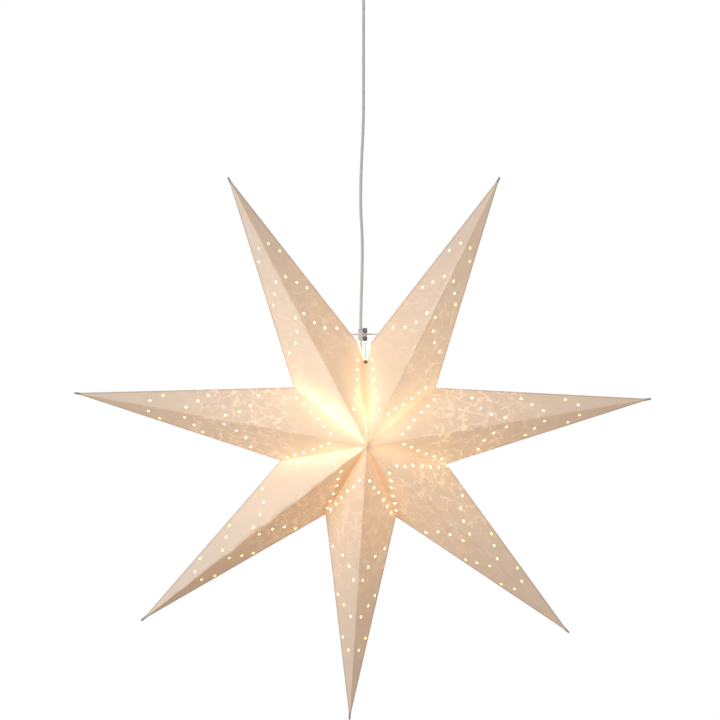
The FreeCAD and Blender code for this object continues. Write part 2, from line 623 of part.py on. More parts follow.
# Cord hanger: a moulded block that grips the cord, with two cheeks and a cross pin in the eye.
block = primitive("Box", "hanger_block", Length="hanger_left + hanger_right",
                  Width="hanger_depth", Height="hanger_foot - hanger_deck")
place(block, x="-hanger_left", y="-hanger_depth / 2", z="-hanger_foot")
cheeks = []
for end, y in (("front", "-hook_radius - cheek_gap - cheek_thickness"),
               ("back", "hook_radius + cheek_gap")):
    cheek = primitive("Box", f"hanger_{end}_cheek", Length="cheek_width",
                      Width="cheek_thickness", Height="hanger_deck - cheek_top + 1")
    cheeks.append(place(cheek, x="-cheek_width / 2", y=y, z="-hanger_deck - 1"))
cross_pin = primitive("Cylinder", "hanger_cross_pin",
                      Radius="eye_radius - hook_radius - hook_play",
                      Height="2 * (hook_radius + cheek_gap + cheek_thickness)")
place(cross_pin, y="-hook_radius - cheek_gap - cheek_thickness", z="-eye_drop",
      rotation=Rotation(X_AXIS, -90))
cord_bore = primitive("Cylinder", "hanger_cord_bore", Radius="cord_radius + cord_play",
                      Height="hanger_grip")
place(cord_bore, z="-hanger_foot")
bores = [cord_bore]
for end, sign in (("front", "-"), ("back", "")):
    bore = primitive("Cylinder", f"hanger_{end}_lead_bore", Radius="lead_radius",
                     Height="lead_depth")
    bores.append(place(bore, x="lead_x", y=sign + "lead_y", z="-hanger_deck - lead_depth"))
grip_screws = []
for end, sign in (("left", "-"), ("right", "")):
    shank = primitive("Cylinder", f"grip_{end}_shank", Radius="grip_screw_radius",
                      Height="grip_screw_length")
    place(shank, x=sign + "grip_screw_x", y="-hanger_depth / 2",
          z="-hanger_foot + hanger_grip / 2", rotation=Rotation(X_AXIS, -90))
    head = primitive("Cylinder", f"grip_{end}_head", Radius="grip_screw_head_radius",
                     Height="grip_screw_head_height")
    place(head, x=sign + "grip_screw_x", y="-hanger_depth / 2 - grip_screw_head_height",
          z="-hanger_foot + hanger_grip / 2", rotation=Rotation(X_AXIS, -90))
    bores.append(shank)
    grip_screws.append(fuse(f"grip_{end}_screw", head, shank))
cut("cord_hanger", fuse("hanger_moulding", block, *cheeks, cross_pin), *bores)
compound("grip_screws", *grip_screws)

# Terminal block and the cord's two leads, which come out of the top of the cord hanger.
moulding = primitive("Box", "terminal_moulding", Length="block_width", Width="block_depth",
                     Height="block_height")
place(moulding, x="block_right - block_width", y="-block_depth / 2", z="-block_top - block_height")
poles, terminal_screws, leads = [], [], []
for pole, sign in (("front", "-"), ("back", "")):
    bore = primitive("Cylinder", f"{pole}_pole_bore", Radius="block_bore_radius",
                     Height="block_height")
    poles.append(place(bore, x="block_right - block_width / 2", y=sign + "block_pole",
                       z="-block_top - block_height"))
    for row, offset in (("upper", "+"), ("lower", "-")):
        screw = primitive("Cylinder", f"{pole}_{row}_terminal_screw",
                          Radius="block_screw_radius", Height="block_screw_length")
        terminal_screws.append(place(
            screw, x="block_right - block_width", y=sign + "block_pole",
            z=f"-block_top - block_height / 2 {offset} block_screw_pitch / 2",
            rotation=Rotation(Y_AXIS, 90)))
    y_out, y_in = size(sign + "lead_y"), size(sign + "block_pole")
    lead_foot = -size("hanger_deck + lead_depth")
    turn_up = size("-hanger_deck + lead_rise")
    target = size("block_right - block_width / 2")
    leads.append(solid_part(f"{pole}_lead", rod(
        [Vector(size("lead_x"), y_out, lead_foot), Vector(size("lead_x"), y_out, turn_up),
         Vector(target, y_in, turn_up + size("lead_step")),
         Vector(target, y_in, -size("block_top + block_height / 2 + block_screw_pitch / 4"))],
        size("lead_radius"), [size("lead_bend")] * 2)))
cut("terminal_block", moulding, *poles, *terminal_screws)
compound("terminal_screws", *terminal_screws)
compound("terminal_leads", *leads)

# ---------------------------------------------------------------------------------------------
# Ceiling cup: it rides on the cord under the ceiling and is held there by the gland's screw.

turned("canopy_cup", [
    ("cup_radius - cup_wall", "-cup_gap"), ("cup_radius", "-cup_gap"),
    ("cup_radius", "-cup_gap - cup_lip"), ("cup_shoulder_radius", "-cup_shoulder"),
    ("cup_foot_radius", "-cup_foot"), ("gland_radius + cord_play", "-cup_foot"),
    ("gland_radius + cord_play", "-cup_foot + cup_wall"),
    ("cup_foot_radius - cup_wall / 2", "-cup_foot + cup_wall"),
    ("cup_shoulder_radius - cup_wall", "-cup_shoulder + cup_wall / 2"),
    ("cup_radius - cup_wall", "-cup_gap - cup_lip")])
gland_blank = turned("gland_blank", [
    ("cord_radius + gland_play", "-gland_foot"), ("gland_radius", "-gland_foot"),
    ("gland_radius", "-cup_foot + cup_wall"), ("gland_flange", "-cup_foot + cup_wall"),
    ("gland_flange", "-cup_foot + cup_wall + gland_flange_height"),
    ("cord_radius + gland_play", "-cup_foot + cup_wall + gland_flange_height")])
gland_screw = primitive("Cylinder", "gland_screw", Radius="gland_screw_radius",
                        Height="gland_screw_reach - cord_radius - seat_gap")
place(gland_screw, x="cord_radius + seat_gap", z="-gland_foot + gland_screw_height",
      rotation=Rotation(Y_AXIS, 90))
cut("canopy_gland", gland_blank, gland_screw)

# ---------------------------------------------------------------------------------------------
# Check every object and write each sub-part to its own file.

NODES = ["arm_" + name for name in ARMS] + [
    "seam_pin", "seam_link", "hanger_wire", "clamp_bar", "clamp_strap", "wire_keeper",
    "clamp_screws", "clamp_nuts", "cord_nipple", "holder_cap", "holder_body", "shade_ring",
    "holder_insulator", "socket_shell", "centre_contact", "bulb_contact", "bulb_foot_insulator", "bulb_screw_cap",
    "bulb_glass", "bulb_stem", "filament", "mains_cord", "ceiling_bracket", "hanger_hook",
    "cord_hanger", "grip_screws", "terminal_block", "terminal_screws", "terminal_leads",
    "canopy_cup", "canopy_gland", "gland_screw"]

doc.recompute()
for item in doc.Objects:
    assert "Invalid" not in item.State and "Error" not in item.State, item.Name
os.makedirs("parts", exist_ok=True)
for node in NODES:
    shape = doc.getObject(node).Shape
    assert not shape.isNull() and shape.isValid() and shape.Volume > 0, node
    shape.exportStep(f"parts/{node}.step")
print(len(NODES), "sub-parts written")
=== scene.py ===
"""Folded paper star pendant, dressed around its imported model. Metres, +Z up, ceiling at 0."""
import bmesh
import bpy
import math
from mathutils import Matrix, Vector, noise


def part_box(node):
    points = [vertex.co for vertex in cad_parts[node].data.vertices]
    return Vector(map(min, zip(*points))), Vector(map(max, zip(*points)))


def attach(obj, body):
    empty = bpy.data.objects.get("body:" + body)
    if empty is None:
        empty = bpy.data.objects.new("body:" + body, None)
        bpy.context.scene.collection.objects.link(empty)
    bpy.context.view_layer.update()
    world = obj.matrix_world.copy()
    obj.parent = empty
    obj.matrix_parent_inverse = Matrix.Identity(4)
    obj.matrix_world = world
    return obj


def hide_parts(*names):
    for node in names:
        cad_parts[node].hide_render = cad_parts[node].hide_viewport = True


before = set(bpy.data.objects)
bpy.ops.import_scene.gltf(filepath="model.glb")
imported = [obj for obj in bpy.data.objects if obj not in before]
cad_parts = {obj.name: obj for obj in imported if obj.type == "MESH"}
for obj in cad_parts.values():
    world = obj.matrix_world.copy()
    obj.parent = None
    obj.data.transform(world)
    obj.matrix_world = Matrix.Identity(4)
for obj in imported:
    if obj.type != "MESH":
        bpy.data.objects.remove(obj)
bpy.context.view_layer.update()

# Ceiling bracket and hook: a zinc-plated steel strap with two screw holes and a bail welded to its
# underside, and a hook bent from the same plated wire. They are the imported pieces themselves, with
# the plating's colour, clouding and grain on them.


def add(tree, kind, inputs=None, **settings):
    """A new node, with its properties set and its inputs linked or given their values."""
    item = tree.nodes.new(kind)
    for name, value in settings.items():
        setattr(item, name, value)
    for name, value in (inputs or {}).items():
        if isinstance(value, bpy.types.NodeSocket):
            tree.links.new(value, item.inputs[name])
        else:
            item.inputs[name].default_value = value
    return item


def math_of(tree, operation, first, second=0.0, third=0.0, clamp=False):
    return add(tree, "ShaderNodeMath", {0: first, 1: second, 2: third}, operation=operation,
               use_clamp=clamp).outputs[0]


def between(tree, value, low, high, to_low=0.0, to_high=1.0):
    """The value's place between low and high, smoothed and clamped."""
    return add(tree, "ShaderNodeMapRange", {0: value, 1: low, 2: high, 3: to_low, 4: to_high},
               interpolation_type="SMOOTHSTEP").outputs[0]


def blended(tree, share, first, second, mode="MIX"):
    node = add(tree, "ShaderNodeMix", data_type="RGBA", blend_type=mode)
    for index, value in ((0, share), (6, first), (7, second)):
        if isinstance(value, bpy.types.NodeSocket):
            tree.links.new(value, node.inputs[index])
        else:
            node.inputs[index].default_value = value if index == 0 else (*value[:3], 1)
    return node.outputs[2]


def new_group(name, inputs, outputs):
    """An empty shader node group; inputs maps each name to its socket type and default."""
    group = bpy.data.node_groups.new(name, "ShaderNodeTree")
    for label, (kind, default) in inputs.items():
        socket = group.interface.new_socket(label, in_out="INPUT", socket_type="NodeSocket" + kind)
        if default is not None:
            socket.default_value = default
    for label, kind in outputs.items():
        group.interface.new_socket(label, in_out="OUTPUT", socket_type="NodeSocket" + kind)
    return group, group.nodes.new("NodeGroupInput").outputs


def close_group(group, **results):
    outlet = group.nodes.new("NodeGroupOutput")
    for label, value in results.items():
        group.links.new(value, outlet.inputs[label])


surface_wear, given = new_group(
    "surface_wear",
    {"Vector": ("Vector", None), "Colour": ("Color", (0.8, 0.8, 0.8, 1)),
     "Dull Colour": ("Color", (0.5, 0.5, 0.5, 1)), "Patch Scale": ("Float", 90.0),
     "Grain Scale": ("Float", 1500.0), "Roughness": ("Float", 0.4),
     "Roughness Spread": ("Float", 0.12)},
    {"Colour": "Color", "Roughness": "Float", "Height": "Float"})
PATCH_EDGES = (0.40, 0.72)
patches = add(surface_wear, "ShaderNodeTexNoise",
              {"Vector": given["Vector"], "Scale": given["Patch Scale"], "Detail": 4.0})
grain = add(surface_wear, "ShaderNodeTexNoise",
            {"Vector": given["Vector"], "Scale": given["Grain Scale"], "Detail": 2.0})
dullness = between(surface_wear, patches.outputs[0], *PATCH_EDGES)
worn_colour = blended(surface_wear, dullness, given["Colour"], given["Dull Colour"])
rough = math_of(surface_wear, "MULTIPLY_ADD", dullness, given["Roughness Spread"],
                given["Roughness"])
close_group(surface_wear, Colour=worn_colour, Roughness=rough, Height=grain.outputs[0])


def principled(name, **sockets):
    """A new material with its tree, its shader and its Object coordinates."""
    made = bpy.data.materials.new(name)
    made.use_nodes = True
    tree = made.node_tree
    shader = tree.nodes["Principled BSDF"]
    for label, value in sockets.items():
        shader.inputs[label.replace("_", " ")].default_value = value
    return made, tree, shader, add(tree, "ShaderNodeTexCoord").outputs


def worn(name, colour, dull, patch=90.0, grain_scale=1500.0, roughness=0.4, spread=0.12,
         bump=0.15, bump_depth=0.0002, **sockets):
    """A material with patchy colour and gloss and a fine grain."""
    made, tree, shader, coordinates = principled(name, **sockets)
    wear = add(tree, "ShaderNodeGroup", node_tree=surface_wear)
    for label, value in (("Colour", (*colour, 1)), ("Dull Colour", (*dull, 1)),
                         ("Patch Scale", patch), ("Grain Scale", grain_scale),
                         ("Roughness", roughness), ("Roughness Spread", spread)):
        wear.inputs[label].default_value = value
    tree.links.new(coordinates["Object"], wear.inputs["Vector"])
    relief = add(tree, "ShaderNodeBump", {"Strength": bump, "Distance": bump_depth,
                                          "Height": wear.outputs["Height"]})
    tree.links.new(wear.outputs["Colour"], shader.inputs["Base Color"])
    tree.links.new(wear.outputs["Roughness"], shader.inputs["Roughness"])
    tree.links.new(relief.outputs[0], shader.inputs["Normal"])
    return made


def dress(node, material):
    """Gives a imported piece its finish."""
    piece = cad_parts[node]
    piece.data.materials.clear()
    piece.data.materials.append(material)


zinc = worn("zinc_plate", (0.62, 0.63, 0.65), (0.44, 0.45, 0.47), roughness=0.28, Metallic=1.0)
for node in ("ceiling_bracket", "hanger_hook"):
    dress(node, zinc)

# Cord hanger and terminal block: two small mouldings of white and of natural polyamide. The hanger
# grips the cord with two plated screws and hangs in the hook's eye, and the block holds the two
# brown leads under its brass screws.

white_plastic = worn("white_moulding", (0.80, 0.80, 0.78), (0.74, 0.74, 0.71), patch=45.0,
                     grain_scale=2600.0, roughness=0.32, spread=0.10, bump=0.08)
dress("cord_hanger", white_plastic)
dress("grip_screws", zinc)
natural_plastic = worn("natural_moulding", (0.78, 0.80, 0.76), (0.66, 0.68, 0.62), patch=60.0,
                       roughness=0.22, spread=0.14)
dress("terminal_block", natural_plastic)
brass = worn("stamped_brass", (0.70, 0.50, 0.22), (0.42, 0.28, 0.12), roughness=0.25,
             Metallic=1.0)
dress("terminal_screws", brass)
lead_colour = worn("lead_sheath", (0.22, 0.11, 0.05), (0.16, 0.08, 0.04), patch=120.0,
                   roughness=0.30)
dress("terminal_leads", lead_colour)

# Ceiling cup: a thin white moulding that slides on the cord and covers the bracket. Its rim and its
# foot are rounded, and a gland with a grip screw closes it on the cord.

SMOOTH_BELOW, BEVELLED_ABOVE, MERGED_WITHIN = 28, 25, 1e-6


def finish_mesh(name, shape, material, body, slot, *replaced, crease=SMOOTH_BELOW):
    """Makes a piece of a bmesh: outward normals, smooth faces, and edges sharp from crease."""
    bmesh.ops.recalc_face_normals(shape, faces=shape.faces)
    for face in shape.faces:
        face.smooth = True
    for edge in shape.edges:
        if len(edge.link_faces) == 2:
            edge.smooth = edge.calc_face_angle(0) < math.radians(crease)
    mesh = bpy.data.meshes.new(name)
    shape.to_mesh(mesh)
    shape.free()
    mesh.materials.append(material)
    piece = bpy.data.objects.new(name, mesh)
    bpy.context.scene.collection.objects.link(piece)
    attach(piece, body)
    if replaced:
        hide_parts(*replaced)
    return piece


def spun(profile, centre, steps=96, rounding=0.0, segments=3):
    """A bmesh turned about the vertical through centre, from (radius, height) points in metres.

    A profile that starts and ends on the axis closes itself there.
    """
    shape = bmesh.new()
    corners = [shape.verts.new((centre[0] + radius, centre[1], height))
               for radius, height in profile]
    closed = profile[0][0] > 0
    for first, second in zip(corners, corners[1:] + (corners[:1] if closed else [])):
        shape.edges.new((first, second))
    bmesh.ops.spin(shape, geom=shape.verts[:] + shape.edges[:], cent=(*centre, 0),
                   axis=(0, 0, 1), angle=2 * math.pi, steps=steps, use_merge=True)
    bmesh.ops.remove_doubles(shape, verts=shape.verts, dist=MERGED_WITHIN)
    bmesh.ops.recalc_face_normals(shape, faces=shape.faces)
    if rounding:
        sharp = [edge for edge in shape.edges if len(edge.link_faces) == 2
                 and edge.calc_face_angle(0) > math.radians(BEVELLED_ABOVE)]
        bmesh.ops.bevel(shape, geom=sharp, offset=rounding, segments=segments, profile=0.5,
                        affect="EDGES", material=-1, clamp_overlap=True)
    return shape


cup_low, cup_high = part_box("canopy_cup")
cup_radius, cup_rim, cup_foot = cup_high.x, cup_high.z, cup_low.z
CUP_WALL, CUP_LIP, CUP_LIP_STEP, CUP_LIP_SLANT = 0.0016, 0.007, 0.0009, 0.0016
CUP_SHOULDER, CUP_SHOULDER_RISE, CUP_FOOT_RADIUS, CUP_BORE = 0.024, 0.006, 0.016, 0.006
CUP_ROUNDING, CUP_STEPS = 0.0004, 128
cup_shoulder = cup_foot + CUP_SHOULDER_RISE
cup = spun([(cup_radius - CUP_WALL, cup_rim), (cup_radius, cup_rim),
            (cup_radius, cup_rim - CUP_LIP),
            (cup_radius - CUP_LIP_STEP, cup_rim - CUP_LIP - CUP_LIP_SLANT),
            (CUP_SHOULDER, cup_shoulder), (CUP_FOOT_RADIUS, cup_foot),
            (CUP_BORE, cup_foot), (CUP_BORE, cup_foot + CUP_WALL),
            (CUP_FOOT_RADIUS - CUP_WALL / 2, cup_foot + CUP_WALL),
            (CUP_SHOULDER - CUP_WALL, cup_shoulder + CUP_WALL / 2),
            (cup_radius - CUP_WALL, cup_rim - CUP_LIP)], (0, 0), steps=CUP_STEPS,
           rounding=CUP_ROUNDING)
finish_mesh("cup", cup, white_plastic, "canopy", "white_plastic", "canopy_cup")
for node in ("canopy_gland", "gland_screw"):
    dress(node, white_plastic)

# Cord: round two-core lamp cord with a smooth white sheath, 3.8 mm thick. It hangs from the cord
# hanger's grip, keeps a few shallow waves from its packing, and ends in the lampholder's nipple.

CORD_RADIUS, STAR_DROP, STAR_SHIFT = 0.0019, 0.645, 0.00145
CORD_TOP, CORD_END = Vector((0, 0, -0.049)), Vector((-0.00255, 0, -0.5665))
# The waves, seen from in front: each point's place across from the star's centre, and above it.
CORD_ROUTE = [(-0.0015, 0.400), (-0.0044, 0.346), (-0.0054, 0.296), (-0.0029, 0.258),
              (-0.0029, 0.222), (-0.0043, 0.180), (-0.0050, 0.147), (-0.0050, 0.119),
              (-0.0024, 0.1055), (-0.0037, 0.092)]
CORD_NEAR_TOP, CORD_LENGTH = 0.054, 0.518

cord_points = [CORD_TOP] + [Vector((x + STAR_SHIFT, 0, height - STAR_DROP))
                            for x, height in CORD_ROUTE] + [CORD_END]
first_corner = cord_points[1]
cord_points.insert(1, first_corner + (CORD_TOP - first_corner).normalized() * CORD_NEAR_TOP)
cord_curve = bpy.data.curves.new("cord", "CURVE")
cord_curve.dimensions = "3D"
cord_curve.bevel_depth = CORD_RADIUS
cord_curve.bevel_resolution = 6
cord_curve.use_fill_caps = True
cord_line = cord_curve.splines.new("NURBS")
cord_line.points.add(len(cord_points) - 1)
for point, place in zip(cord_line.points, cord_points):
    point.co = (*place, 1)
cord_line.order_u = 3
cord_line.use_endpoint_u = True
cord_line.resolution_u = 12
cord = bpy.data.objects.new("cord", cord_curve)
bpy.context.scene.collection.objects.link(cord)
cord_sheath = worn("cord_sheath", (0.93, 0.93, 0.93), (0.88, 0.88, 0.88), patch=70.0,
                   grain_scale=1800.0, roughness=0.34, spread=0.10, bump=0.05)
cord_curve.materials.append(cord_sheath)
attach(cord, "pendant")
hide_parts("mains_cord")

# Lampholder: a white moulded cap on a threaded nipple, with a grooved body that screws into the cap
# and a loose shade ring round the body. A black insulator inside carries the brass shell and the
# sprung contact.

lamp_low, lamp_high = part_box("holder_cap")
LAMP = ((lamp_low.x + lamp_high.x) / 2, 0.0)


def lamp_level(height):
    """A height above the star's centre, in millimetres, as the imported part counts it."""
    return height / 1000 - STAR_DROP


def lamp_profile(*points):
    """(radius, height) points in millimetres, for a piece on the lamp's axis."""
    return [(radius / 1000, lamp_level(height)) for radius, height in points]


# Radii and heights in millimetres; the heights count from the star's centre. The roundings are in
# metres, and each groove's own levels count down from its top.
HOLDER_BORE, DOME_FLAT, DOME_RADIUS, DOME_LEVEL, DOME_TURN = 4.8, 5, 9, 73, 10
CAP_RIM, CAP_THREAD_BORE, CAP_INNER, CAP_INNER_TOP = 60.0, 13.05, 12.2, 80.2
BODY_TOP, BODY_FLOOR, BODY_FOOT = 66.0, 41.0, 39.0
BODY_RADIUS, BODY_BORE, BODY_MOUTH = 12.9, 10.9, 8.6
GROOVES, GROOVE_PITCH, GROOVE_TOP, GROOVE_RADIUS = 5, 1.6, 58.4, 12.55
GROOVE_FLOOR, GROOVE_RISE, GROOVE_END = 0.5, 0.9, 1.4
RING_TOP, RING_FLANGE_TOP, RING_FOOT = 50.0, 44.4, 42.0
RING_BORE, RING_COLLAR, RING_RADIUS = 13.05, 14.7, 18.0
CAP_ROUNDING, BODY_ROUNDING, RING_ROUNDING = 0.00025, 0.00012, 0.00035

cap_profile = [(HOLDER_BORE, DOME_LEVEL + DOME_RADIUS)]
cap_profile += [(DOME_FLAT + DOME_RADIUS * math.sin(math.radians(turn)),
                 DOME_LEVEL + DOME_RADIUS * math.cos(math.radians(turn)))
                for turn in range(0, 91, DOME_TURN)]
cap_profile += [(DOME_FLAT + DOME_RADIUS, CAP_RIM), (CAP_THREAD_BORE, CAP_RIM),
                (CAP_THREAD_BORE, BODY_TOP), (CAP_INNER, BODY_TOP), (CAP_INNER, DOME_LEVEL),
                (HOLDER_BORE, CAP_INNER_TOP)]
finish_mesh("lamp_cap", spun(lamp_profile(*cap_profile), LAMP, rounding=CAP_ROUNDING),
            white_plastic, "pendant", "white_plastic", "holder_cap")
body_profile = [(BODY_BORE, BODY_TOP), (BODY_RADIUS, BODY_TOP)]
for groove in range(GROOVES):
    top = GROOVE_TOP - groove * GROOVE_PITCH
    body_profile += [(BODY_RADIUS, top), (GROOVE_RADIUS, top - GROOVE_FLOOR),
                     (GROOVE_RADIUS, top - GROOVE_RISE), (BODY_RADIUS, top - GROOVE_END)]
body_profile += [(BODY_RADIUS, BODY_FOOT), (BODY_MOUTH, BODY_FOOT), (BODY_MOUTH, BODY_FLOOR),
                 (BODY_BORE, BODY_FLOOR)]
body = spun(lamp_profile(*body_profile), LAMP, rounding=BODY_ROUNDING, segments=2)
finish_mesh("lamp_body", body, white_plastic, "pendant", "white_plastic", "holder_body")
ring_profile = [(RING_BORE, RING_TOP), (RING_COLLAR, RING_TOP), (RING_COLLAR, RING_FLANGE_TOP),
                (RING_RADIUS, RING_FLANGE_TOP), (RING_RADIUS, RING_FOOT), (RING_BORE, RING_FOOT)]
finish_mesh("lamp_ring", spun(lamp_profile(*ring_profile), LAMP, rounding=RING_ROUNDING),
            white_plastic, "ring", "white_plastic", "shade_ring")
dress("cord_nipple", white_plastic)
black_plastic = worn("black_moulding", (0.030, 0.030, 0.032), (0.055, 0.052, 0.050), patch=60.0,
                     roughness=0.42, spread=0.15)
dress("holder_insulator", black_plastic)
for node in ("socket_shell", "centre_contact"):
    dress(node, brass)

# Bulb: a frosted globe with a rolled E14 cap. The globe glows warm, the cap's thread is a helix
# rolled in thin aluminium, and the stem and the filament stand inside the glass.

rolled_cap = worn("rolled_aluminium", (0.72, 0.72, 0.73), (0.52, 0.52, 0.54), patch=150.0,
                  roughness=0.24, Metallic=1.0)
THREAD_PITCH, THREAD_DEPTH, THREAD_ROWS = 2.82, 0.35, 48
CAP_RADIUS, CAP_WALL, CAP_CROWN, CAP_SLOPE, CAP_ROOF, CAP_PLAIN = 6.9, 0.5, 4.6, 1.6, 1.8, 2
cap_low, cap_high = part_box("bulb_screw_cap")
cap_top, cap_foot = ((corner.z + STAR_DROP) * 1000 for corner in (cap_high, cap_low))
row_drop = (cap_top - CAP_SLOPE - cap_foot) / THREAD_ROWS
outside = [(CAP_RADIUS - THREAD_DEPTH / 2, cap_top - CAP_SLOPE - row * row_drop)
           for row in range(THREAD_ROWS + 1)]
cap_inside = CAP_RADIUS - THREAD_DEPTH - CAP_WALL
screw_cap = spun(lamp_profile((0, cap_top), (CAP_CROWN, cap_top), *outside,
                              (cap_inside, cap_foot), (cap_inside, cap_top - CAP_ROOF),
                              (0, cap_top - CAP_ROOF)), LAMP)
for vertex in screw_cap.verts:
    across = Vector((vertex.co.x - LAMP[0], vertex.co.y, 0))
    level = (vertex.co.z + STAR_DROP) * 1000
    if across.length * 1000 > CAP_RADIUS - THREAD_DEPTH and level < cap_top - CAP_PLAIN:
        turns = level / THREAD_PITCH - math.atan2(across.y, across.x) / (2 * math.pi)
        wave = math.cos(2 * math.pi * turns) * THREAD_DEPTH / 2000
        vertex.co += across.normalized() * wave
finish_mesh("bulb_thread", screw_cap, rolled_cap, "bulb", "bulb_cap", "bulb_screw_cap", crease=60)
dress("bulb_foot_insulator", black_plastic)
dress("bulb_contact", brass)

frosted, tree, shader, coordinates = principled(
    "frosted_glow", Roughness=0.35, Emission_Strength=2.6)
clouds = add(tree, "ShaderNodeTexNoise", {"Vector": coordinates["Object"], "Scale": 90.0})
powder = blended(tree, between(tree, clouds.outputs[0], 0.35, 0.7), (0.94, 0.88, 0.78),
                 (0.90, 0.83, 0.72))
glow = blended(tree, between(tree, clouds.outputs[0], 0.3, 0.7), (1.0, 0.80, 0.52),
               (1.0, 0.86, 0.62))
tree.links.new(powder, shader.inputs["Base Color"])
tree.links.new(glow, shader.inputs["Emission Color"])
dress("bulb_glass", frosted)
clear_glass = worn("stem_glass", (0.90, 0.93, 0.93), (0.84, 0.88, 0.88), roughness=0.06,
                   spread=0.04, Transmission_Weight=0.9)
dress("bulb_stem", clear_glass)
hot_wire, tree, shader, coordinates = principled(
    "hot_filament", Roughness=0.5, Metallic=1.0, Emission_Strength=6.0)
heat = add(tree, "ShaderNodeTexNoise", {"Vector": coordinates["Object"], "Scale": 400.0})
tree.links.new(blended(tree, heat.outputs[0], (1.0, 0.62, 0.28), (1.0, 0.74, 0.40)),
               shader.inputs["Emission Color"])
tree.links.new(blended(tree, heat.outputs[0], (0.5, 0.45, 0.4), (0.7, 0.6, 0.5)),
               shader.inputs["Base Color"])
dress("filament", hot_wire)

# Cord clamp and hanger wire: a pale lacquered strap round the cord, held to a dark bar by two dark
# slotted screws with plated nuts behind, and a dark keeper. The thin white-coated wire through the
# keeper carries the star, and a link of it joins the dark pin that closes the paper.

dark_steel = worn("burnished_steel", (0.20, 0.185, 0.17), (0.13, 0.12, 0.11), patch=260.0,
                  roughness=0.36, spread=0.2, Metallic=0.7)
for node in ("clamp_bar", "wire_keeper", "clamp_screws", "seam_pin"):
    dress(node, dark_steel)
strap_steel = worn("strap_steel", (0.80, 0.75, 0.69), (0.62, 0.57, 0.51), patch=160.0,
                   roughness=0.38, Metallic=0.3)
dress("clamp_strap", strap_steel)
dress("clamp_nuts", zinc)
coated_wire = worn("coated_wire", (0.90, 0.88, 0.93), (0.84, 0.82, 0.87), patch=120.0,
                   roughness=0.35)
for node in ("hanger_wire", "seam_link"):
    dress(node, coated_wire)

# Paper star: seven arms, each one sheet of warm white card with a front and a back ridge and two
# side folds. Rows of round punched holes cross every facet, and a pale frost tracery is pressed
# into the card. The lamp behind makes the card glow towards the middle of the star.

TIP_RADIUS, NOTCH_RADIUS, HALF_DEPTH, CARD = 0.375, 0.112, 0.070, 0.0006
STAR = Vector((STAR_SHIFT, 0, -STAR_DROP))
ARM_ANGLES = {"top_left": 117.4, "top_right": 62.7, "right": 7.4, "lower_right": -44.1,
              "bottom": -93.0, "lower_left": -140.6, "left": -189.2}
# Each hole's place in millimetres, seen from in front: along the arm from the star's centre, and
# out from the ridge.
HOLES = [(46.5, 6.5), (56, 12.7), (64, 20), (75, 27), (85, 33), (94.5, 39),
         (143, 33.8), (151, 21), (163.5, 12.4), (180, 6),
         (206, 24), (218, 15.8), (231, 6.8), (263, 15), (278, 6.8)]
HOLE_RADIUS, HOLE_SIDES = 0.0018, 14
# The flat card is cut into rows and strips, and swells a little between its folds.
ROW_STEP, STRIP_STEP = 0.016, 0.014
WARP, WARP_SIZE, WARP_EDGE, WARP_SEED = 0.0004, 0.045, 0.012, 7.3
TAB_LENGTH, TAB_HOLD, TAB_WIDTH, TAB_DEPTH = 0.0065, 0.00325, 0.0032, 0.0016
# How each arm's left and right facets look when lit. The first number is for the valley: 1 where
# the lamp stands close behind a single sheet, -1 where a glue flap doubles the card and it glows
# orange. The second is how clearly the tracery shows, the third how shaded the card is, and the
# fourth is for the seam under the pin: 1 for the lapped edge, -1 for the slit of light beside it.
FACET_TONES = {"top_left": ((1.0, 0.25, -0.3, 0), (0.35, 0.5, 0.1, -1)),
               "top_right": ((0.3, 0.35, 0.1, 1), (0.2, 0.55, -0.3, 0)),
               "right": ((0.3, 1.0, 0.1, 0), (0.1, 1.0, 0.3, 0)),
               "lower_right": ((0.15, 0.9, -0.1, 0), (-0.9, 0.7, 0.35, 0)),
               "bottom": ((-0.2, 0.6, 0.35, 0), (0.1, 0.6, 0.1, 0)),
               "lower_left": ((-1.0, 0.9, 0.9, 0), (0.8, 0.2, -0.2, 0)),
               "left": ((0.1, 1.0, 0.25, 0), (0.1, 1.0, 0.0, 0))}


def spoke(radius, degrees):
    turn = math.radians(degrees)
    return Vector((radius * math.cos(turn), 0, radius * math.sin(turn)))


def distance_to(point, first, second):
    """How far a point in the flat facet lies from the line through two others."""
    along = second - first
    return abs(along.x * (point.y - first.y) - along.y * (point.x - first.x)) / along.length


